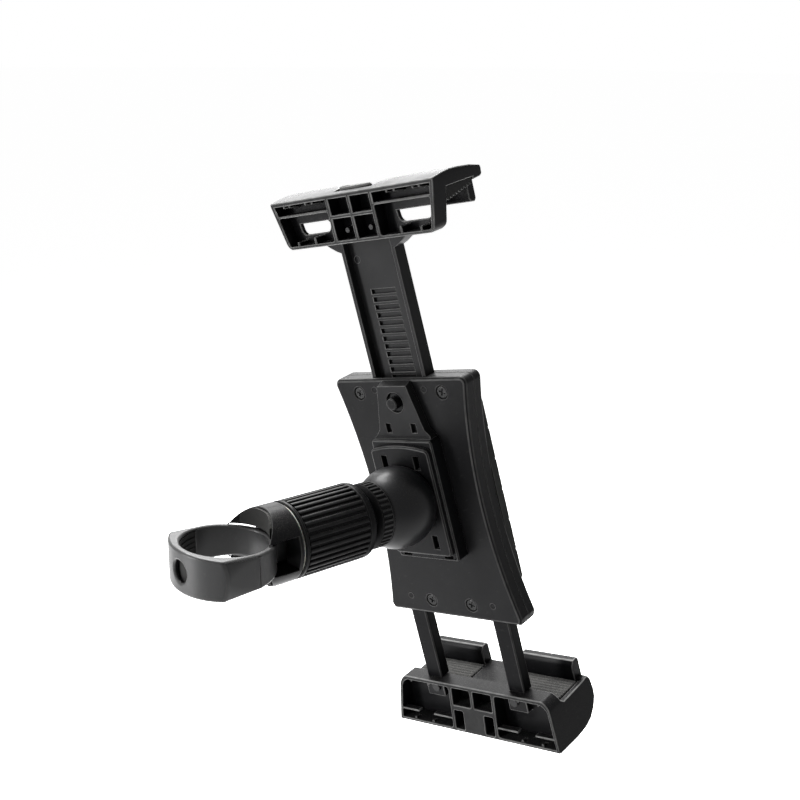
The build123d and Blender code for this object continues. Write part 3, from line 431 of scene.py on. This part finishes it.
# The saddle shoe is the short round block that the sleeve pushes towards the ring. It is moulded in black
# nylon and carries two rubber pads. A thin nylon washer lies between it and the turning sleeve.

saddle_nylon = moulded("saddle_nylon", (0.005, 0.005, 0.0055), (0.008, 0.008, 0.0085), 0.36, rim=0.2)
rounded_node("saddle_shoe", "saddle", saddle_nylon, 0.0004)
dressed(liner_rubber, "saddle_pads")


def waxy(name, colour):
    """Natural nylon: off-white, slightly waxy, with a soft mould grain."""
    material = moulded(name, tuple(0.9 * c for c in colour), colour, 0.45, grain=0.0006, rim=0.0,
                       scratches=0.1, dust=0.1)
    surface = material.node_tree.nodes["Principled BSDF"]
    surface.inputs["Subsurface Weight"].default_value = 0.15
    surface.inputs["Subsurface Scale"].default_value = 0.002
    return material


bearing_nylon = waxy("bearing_nylon", (0.62, 0.60, 0.55))
dressed(bearing_nylon, "thrust_washer", "collar_seat", "cup_liner", "bar_brakes")

# The grip sleeve is a moulded hand grip with 36 crowned ribs between two plain bands. It turns on the stem
# with a steel nut pressed into it, and pulls the ring tight.


mm = 0.001


def band(shape, here, there):
    """Faces between two loops of points."""
    for j in range(len(here)):
        k = (j + 1) % len(here)
        shape.faces.new((here[j], here[k], there[k], there[j]))


def turned(name, outline, turns=144):
    """A solid of revolution round the arm's axis, from points of radius and distance along the arm, in mm."""
    shape = bmesh.new()
    loops = []
    for i in range(turns):
        angle = 2.0 * math.pi * i / turns
        loops.append([shape.verts.new((mm * r * math.cos(angle), mm * y, mm * r * math.sin(angle)))
                      for r, y in outline])
    for i in range(turns):
        band(shape, loops[i], loops[(i + 1) % turns])
    bmesh.ops.recalc_face_normals(shape, faces=shape.faces)
    return mesh_of(shape, name)


def crowned_rib(name, section, start, end, slope):
    """One rib along the arm with sloped ends, from half a section of half widths and radii, in mm."""
    shape = bmesh.new()
    across = [(-x, r) for x, r in section] + [(x, r) for x, r in reversed(section)]
    low = min(r for _, r in section)
    end_lift = 0.02
    rows = []
    for y, rise in ((start, 0.0), (start + slope, 1.0), (end - slope, 1.0), (end, 0.0)):
        rows.append([shape.verts.new((mm * x, mm * y, mm * (low + (r - low) * rise + end_lift * (1 - rise))))
                     for x, r in across])
    for here, there in zip(rows, rows[1:]):
        band(shape, here, there)
    shape.faces.new(rows[0])
    shape.faces.new(list(reversed(rows[-1])))
    bmesh.ops.recalc_face_normals(shape, faces=shape.faces)
    for face in shape.faces:
        face.smooth = True
    for edge in shape.edges:
        edge.smooth = edge.calc_face_angle(0.0) < math.radians(50.0)
    return mesh_of(shape, name)


def round_and_round():
    """Geometry nodes: the given mesh repeated round the arm's axis."""
    tree = bpy.data.node_groups.new("round_and_round", "GeometryNodeTree")
    tree.interface.new_socket("Geometry", in_out="INPUT", socket_type="NodeSocketGeometry")
    count = tree.interface.new_socket("Count", in_out="INPUT", socket_type="NodeSocketInt")
    count.default_value = 36
    tree.interface.new_socket("Finish", in_out="INPUT", socket_type="NodeSocketMaterial")
    tree.interface.new_socket("Geometry", in_out="OUTPUT", socket_type="NodeSocketGeometry")
    given, made = tree.nodes.new("NodeGroupInput"), tree.nodes.new("NodeGroupOutput")
    spots = node_of(tree, "GeometryNodePoints")
    tree.links.new(given.outputs["Count"], spots.inputs["Count"])
    index = node_of(tree, "GeometryNodeInputIndex")
    share = node_of(tree, "ShaderNodeMath", operation="DIVIDE")
    tree.links.new(index.outputs[0], share.inputs[0])
    tree.links.new(given.outputs["Count"], share.inputs[1])
    turn = node_of(tree, "ShaderNodeMath", operation="MULTIPLY")
    turn.inputs[1].default_value = 2.0 * math.pi
    tree.links.new(share.outputs[0], turn.inputs[0])
    angles = node_of(tree, "ShaderNodeCombineXYZ")
    tree.links.new(turn.outputs[0], angles.inputs["Y"])
    copies = node_of(tree, "GeometryNodeInstanceOnPoints")
    tree.links.new(spots.outputs[0], copies.inputs["Points"])
    tree.links.new(given.outputs["Geometry"], copies.inputs["Instance"])
    tree.links.new(angles.outputs[0], copies.inputs["Rotation"])
    real = node_of(tree, "GeometryNodeRealizeInstances")
    tree.links.new(copies.outputs[0], real.inputs[0])
    finish = node_of(tree, "GeometryNodeSetMaterial")
    tree.links.new(real.outputs[0], finish.inputs["Geometry"])
    tree.links.new(given.outputs["Finish"], finish.inputs["Material"])
    tree.links.new(finish.outputs[0], made.inputs[0])
    return tree


round_tree = round_and_round()


def repeated(name, mesh, tree, settings):
    """The mesh repeated by a tree of geometry nodes and made a plain mesh."""
    holder = bpy.data.objects.new(name, mesh)
    bpy.context.scene.collection.objects.link(holder)
    repeat = holder.modifiers.new("repeat", "NODES")
    repeat.node_group = tree
    for item in tree.interface.items_tree:
        if item.item_type == "SOCKET" and item.in_out == "INPUT" and item.name in settings:
            repeat[item.identifier] = settings[item.name]
    done = evaluated_mesh(holder)
    bpy.data.objects.remove(holder)
    return done


def joined(piece, *meshes):
    """Adds meshes to a piece, with their rim marks."""
    shape = bmesh.new()
    shape.from_mesh(piece.data)
    for mesh in meshes:
        shape.from_mesh(mesh)
    for face in shape.faces:
        face.material_index = 0
    shape.to_mesh(piece.data)
    shape.free()
    return piece


# Rib crowns are lightened as wear together with a painted highlight along the ribs' tops.
ridge_wear_and_highlight = 0.7


def rim_marked(mesh, axis_distance):
    """Marks as rims the faces of a ribbed mesh that lie farther out than a distance from the arm's axis, so
    that they are lightened as wear and as a painted highlight.
    """
    marks = mesh.attributes.new("rim", "FLOAT", "FACE")
    far_out = [math.hypot(face.center.x, face.center.z) > axis_distance for face in mesh.polygons]
    marks.data.foreach_set("value", [ridge_wear_and_highlight * float(out) for out in far_out])
    return mesh


sleeve_outline = ((13.2, 28.72), (16.5, 28.72), (17.0, 29.2), (17.0, 30.1), (16.7, 30.5), (16.1, 30.9),
                  (16.1, 61.9), (16.7, 62.3), (17.0, 62.7), (17.0, 64.6), (16.7, 65.5), (16.1, 66.1),
                  (15.4, 66.48), (9.7, 66.48), (9.7, 58.2), (13.2, 58.2))
sleeve_nylon = moulded("sleeve_nylon", (0.0025, 0.0025, 0.003), (0.0045, 0.0045, 0.005), 0.36, rim=0.15,
                       scratches=0.2)
sleeve = rounded("grip_sleeve_ribbed", turned("sleeve_core", sleeve_outline), sleeve_nylon, 0.00015, 30.0)
rib_section = ((0.86, 15.9), (0.84, 16.5), (0.70, 16.85), (0.40, 16.98), (0.0, 17.0))
sleeve_rib = crowned_rib("sleeve_rib", rib_section, 30.3, 62.5, 0.5)
sleeve_ribs = repeated("sleeve_ribs", sleeve_rib, round_tree, {"Count": 36, "Finish": sleeve_nylon})
joined(sleeve, rim_marked(sleeve_ribs, 0.0168))
standing_for(sleeve, "sleeve", "black_moulding", "grip_sleeve")

# The stem, its cross pin, the joint bolt, nuts, springs, screws and rivets are zinc-plated steel. The plating
# is bright, faintly blue, and dulled by handling. The stem's thread shows between the sleeve and the collar.


def plated(name, colour, rough, thread=0.0):
    """Zinc plating with fine drawing lines and dull patches, and a thread round the arm's axis if asked."""
    material = bpy.data.materials.new(name)
    material.use_nodes = True
    tree = material.node_tree
    surface = tree.nodes["Principled BSDF"]
    surface.inputs["Metallic"].default_value = 1.0
    place = node_of(tree, "ShaderNodeTexCoord")
    patches = node_of(tree, "ShaderNodeTexNoise", in_Scale=300.0, in_Detail=5.0)
    tree.links.new(place.outputs["Object"], patches.inputs["Vector"])
    stretch = node_of(tree, "ShaderNodeMapping")
    stretch.inputs["Scale"].default_value = (1.0, 18.0, 1.0)
    tree.links.new(place.outputs["Object"], stretch.inputs["Vector"])
    lines = node_of(tree, "ShaderNodeTexNoise", in_Scale=260.0, in_Detail=2.0)
    tree.links.new(stretch.outputs[0], lines.inputs["Vector"])
    colour_out = blended(tree, tuple(0.7 * c for c in colour), colour, patches.outputs["Fac"])
    tree.links.new(colour_out, surface.inputs["Base Color"])
    sheen = ranged(tree, patches.outputs["Fac"], rough + 0.12, rough - 0.08)
    tree.links.new(sheen, surface.inputs["Roughness"])
    relief = node_of(tree, "ShaderNodeBump", in_Strength=0.5)
    relief.inputs["Distance"].default_value = 0.00001
    tree.links.new(lines.outputs["Fac"], relief.inputs["Height"])
    if thread > 0.0:
        wave = node_of(tree, "ShaderNodeTexWave", wave_type="BANDS", bands_direction="Y", wave_profile="TRI",
                       in_Scale=0.1 * math.pi / thread)
        tree.links.new(place.outputs["Object"], wave.inputs["Vector"])
        groove = node_of(tree, "ShaderNodeBump", in_Strength=1.0)
        groove.inputs["Distance"].default_value = 0.0004
        tree.links.new(wave.outputs["Fac"], groove.inputs["Height"])
        tree.links.new(relief.outputs[0], groove.inputs["Normal"])
        tree.links.new(groove.outputs[0], surface.inputs["Normal"])
    else:
        tree.links.new(relief.outputs[0], surface.inputs["Normal"])
    return material


zinc = plated("zinc_plate", (0.62, 0.63, 0.65), 0.28)
stem_zinc = plated("stem_zinc", (0.60, 0.61, 0.63), 0.24, thread=0.0015)
dressed(stem_zinc, "threaded_stem")
dressed(zinc, "sleeve_nut", "tongue_pin", "joint_bolt", "bolt_nut", "disc_springs", "inner_cup",
        "dome_screws", "detent_spring", "detent_rivets", "bar_bridge", "bridge_rivets")

# The lock collar is a short knurled ring, moulded in black nylon. It screws along the stem and squeezes the
# dome against its seat.

collar_outline = ((9.2, 69.32), (12.6, 69.32), (13.0, 69.4), (14.8, 70.75), (14.95, 71.0), (14.45, 71.2),
                  (14.45, 76.3), (14.95, 76.6), (14.95, 77.2), (14.8, 77.55), (14.52, 77.58), (13.95, 77.02),
                  (13.45, 76.5), (13.45, 71.5), (9.2, 71.5))
collar_nylon = moulded("collar_nylon", (0.004, 0.004, 0.0045), (0.007, 0.007, 0.0075), 0.34, rim=0.35)
collar = rounded("lock_collar_knurled", turned("collar_core", collar_outline), collar_nylon, 0.00012, 30.0)
ridge_section = ((0.72, 14.3), (0.66, 14.7), (0.42, 14.93), (0.0, 14.98))
collar_ridge = crowned_rib("collar_ridge", ridge_section, 71.0, 76.7, 0.4)
collar_ridges = repeated("collar_ridges", collar_ridge, round_tree, {"Count": 40, "Finish": collar_nylon})
joined(collar, rim_marked(collar_ridges, 0.01485))
standing_for(collar, "collar", "black_moulding", "lock_collar")

# The ball dome is a hollow, polished black ball with a flat base, moulded in plastic. It is the one glossy
# piece, with a few fine scratches from wiping.


def polished(name, colour, rough):
    """Polished plastic with a thin clear coat, fine scratches and a few motes of dust."""
    material = moulded(name, colour, tuple(1.5 * c for c in colour), rough + 0.04, grain=0.002, bump=0.000003,
                       rim=0.2, scratches=0.08, dust=0.1, specular=0.13)
    surface = material.node_tree.nodes["Principled BSDF"]
    surface.inputs["Coat Weight"].default_value = 0.06
    surface.inputs["Coat Roughness"].default_value = 0.2
    return material


dome_gloss = polished("dome_gloss", (0.002, 0.002, 0.0025), 0.36)
dressed(dome_gloss, "ball_dome")

# The ball plate is screwed to the dome's base. Its four hooks hang in the pockets of the receiver plate,
# and both are moulded in black nylon.

plate_nylon = moulded("plate_nylon", (0.004, 0.004, 0.0045), (0.007, 0.007, 0.0075), 0.38, rim=0.4)
rounded_node("ball_plate", "ball_mount", plate_nylon, 0.0003)
rounded_node("receiver_plate", "cradle", plate_nylon, 0.0003)

# The latch block stands above the receiver plate and guides the release button. Both are moulded in black
# nylon, and the button is smoother and darker than the block.

latch_nylon = moulded("latch_nylon", (0.010, 0.010, 0.0105), (0.015, 0.015, 0.0155), 0.42, rim=0.55)
rounded_node("latch_block", "cradle", latch_nylon, 0.0003)
button_nylon = moulded("button_nylon", (0.004, 0.004, 0.0045), (0.007, 0.007, 0.0075), 0.28, rim=0.3)
rounded_node("release_button", "button", button_nylon, 0.00025, slot="button_plastic")

# The button's small coil spring is wound from plated wire. It shortens against the receiver plate when
# the button is pressed.

coil = rounded_node("button_spring", "cradle", zinc, 0.00004, slot="zinc_steel")
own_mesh(coil)

# The two halves of the cradle's box are moulded in satin nylon and held by four black screws from the back.
# Two long rubber pads sit in the front half.

cover_nylon = moulded("cover_nylon", (0.005, 0.005, 0.0055), (0.008, 0.008, 0.0085), 0.42, grain=0.0005,
                      rim=0.35)
rounded_node("rear_cover", "cradle", cover_nylon, 0.00045, 30.0)
rounded_node("front_cover", "cradle", cover_nylon, 0.00045, 30.0)
pad_rubber = rubbery("pad_rubber", (0.018, 0.018, 0.018), (0.032, 0.032, 0.031))
rounded_node("rest_pads", "cradle", pad_rubber, 0.0003, slot="black_rubber")
black_oxide = moulded("black_oxide", (0.006, 0.006, 0.0065), (0.010, 0.010, 0.0105), 0.30, grain=0.0003,
                      rim=0.25, specular=0.12)
rounded_node("cover_screws", "cradle", black_oxide, 0.00015, slot="black_steel")

# The upper arm is a channel with a rack of recesses, and the jaw's ribbed shell is screwed to its end. Both
# are moulded in glass-filled nylon. Toothed rubber pads sit under the jaw's hook, and a rubber cap in its gap.

arm_nylon = moulded("arm_nylon", (0.010, 0.010, 0.0105), (0.015, 0.015, 0.0155), 0.38, rim=0.7)
rounded_node("upper_arm", "upper_jaw", arm_nylon, 0.0003)


# The outermost faces of the jaws that look rearward get a lighter tone: a painted highlight on one side, with
# some polish.
front_reach = 0.0006
front_polish_and_highlight = 0.12
same_way = 0.98


def polish_and_highlight_front(piece, way):
    """Lightens and polishes the outermost faces that look one way: a painted highlight on the faces turned
    that way, with some polish.
    """
    rims = piece.data.attributes["rim"].data
    far = max(vertex.co.dot(way) for vertex in piece.data.vertices)
    for face in piece.data.polygons:
        if face.normal.dot(way) > same_way and face.center.dot(way) > far - front_reach:
            rims[face.index].value = front_polish_and_highlight


rearward = Vector((0.1862, -0.9721, -0.1428))
cradle_up = Vector((-0.1690, -0.1750, 0.9700))
# The jaw's nylon is darker than the arm's, as painted shade for its deep pockets, and its full rim value
# lightens the rib edges as a painted highlight.
jaw_nylon = moulded("jaw_nylon", (0.003, 0.003, 0.0035), (0.006, 0.006, 0.0065), 0.36, rim=1.0)
upper_shell = rounded_node("upper_jaw_shell", "upper_jaw", jaw_nylon, 0.00045)
polish_and_highlight_front(upper_shell, rearward)
tooth_rubber = rubbery("tooth_rubber", (0.014, 0.014, 0.014), (0.024, 0.024, 0.023), 0.62)
rounded_node("upper_jaw_pad", "upper_jaw", tooth_rubber, 0.00015, slot="black_rubber")
rounded_node("jaw_cap", "upper_jaw", tooth_rubber, 0.00015, slot="black_rubber")
rounded_node("upper_jaw_screws", "upper_jaw", black_oxide, 0.00015, slot="black_steel")

# The lower jaw hangs on two hollow bars, tied by a steel strap inside the box. It is the upper jaw's partner,
# with a toothed shelf and two lips.

bar_nylon = moulded("bar_nylon", (0.002, 0.002, 0.0025), (0.0035, 0.0035, 0.004), 0.40, rim=0.3,
                    specular=0.035)
rounded_node("lower_bar_left", "lower_jaw", bar_nylon, 0.0003)
rounded_node("lower_bar_right", "lower_jaw", bar_nylon, 0.0003)
lower_shell = rounded_node("lower_jaw_shell", "lower_jaw", jaw_nylon, 0.00045)
lower_front = 0.989 * rearward + 0.150 * cradle_up
polish_and_highlight_front(lower_shell, lower_front)
rounded_node("lower_jaw_pad", "lower_jaw", tooth_rubber, 0.00015, slot="black_rubber")
rounded_node("lower_jaw_screws", "lower_jaw", black_oxide, 0.00015, slot="black_steel")

bpy.context.scene.view_settings.view_transform = "Standard"
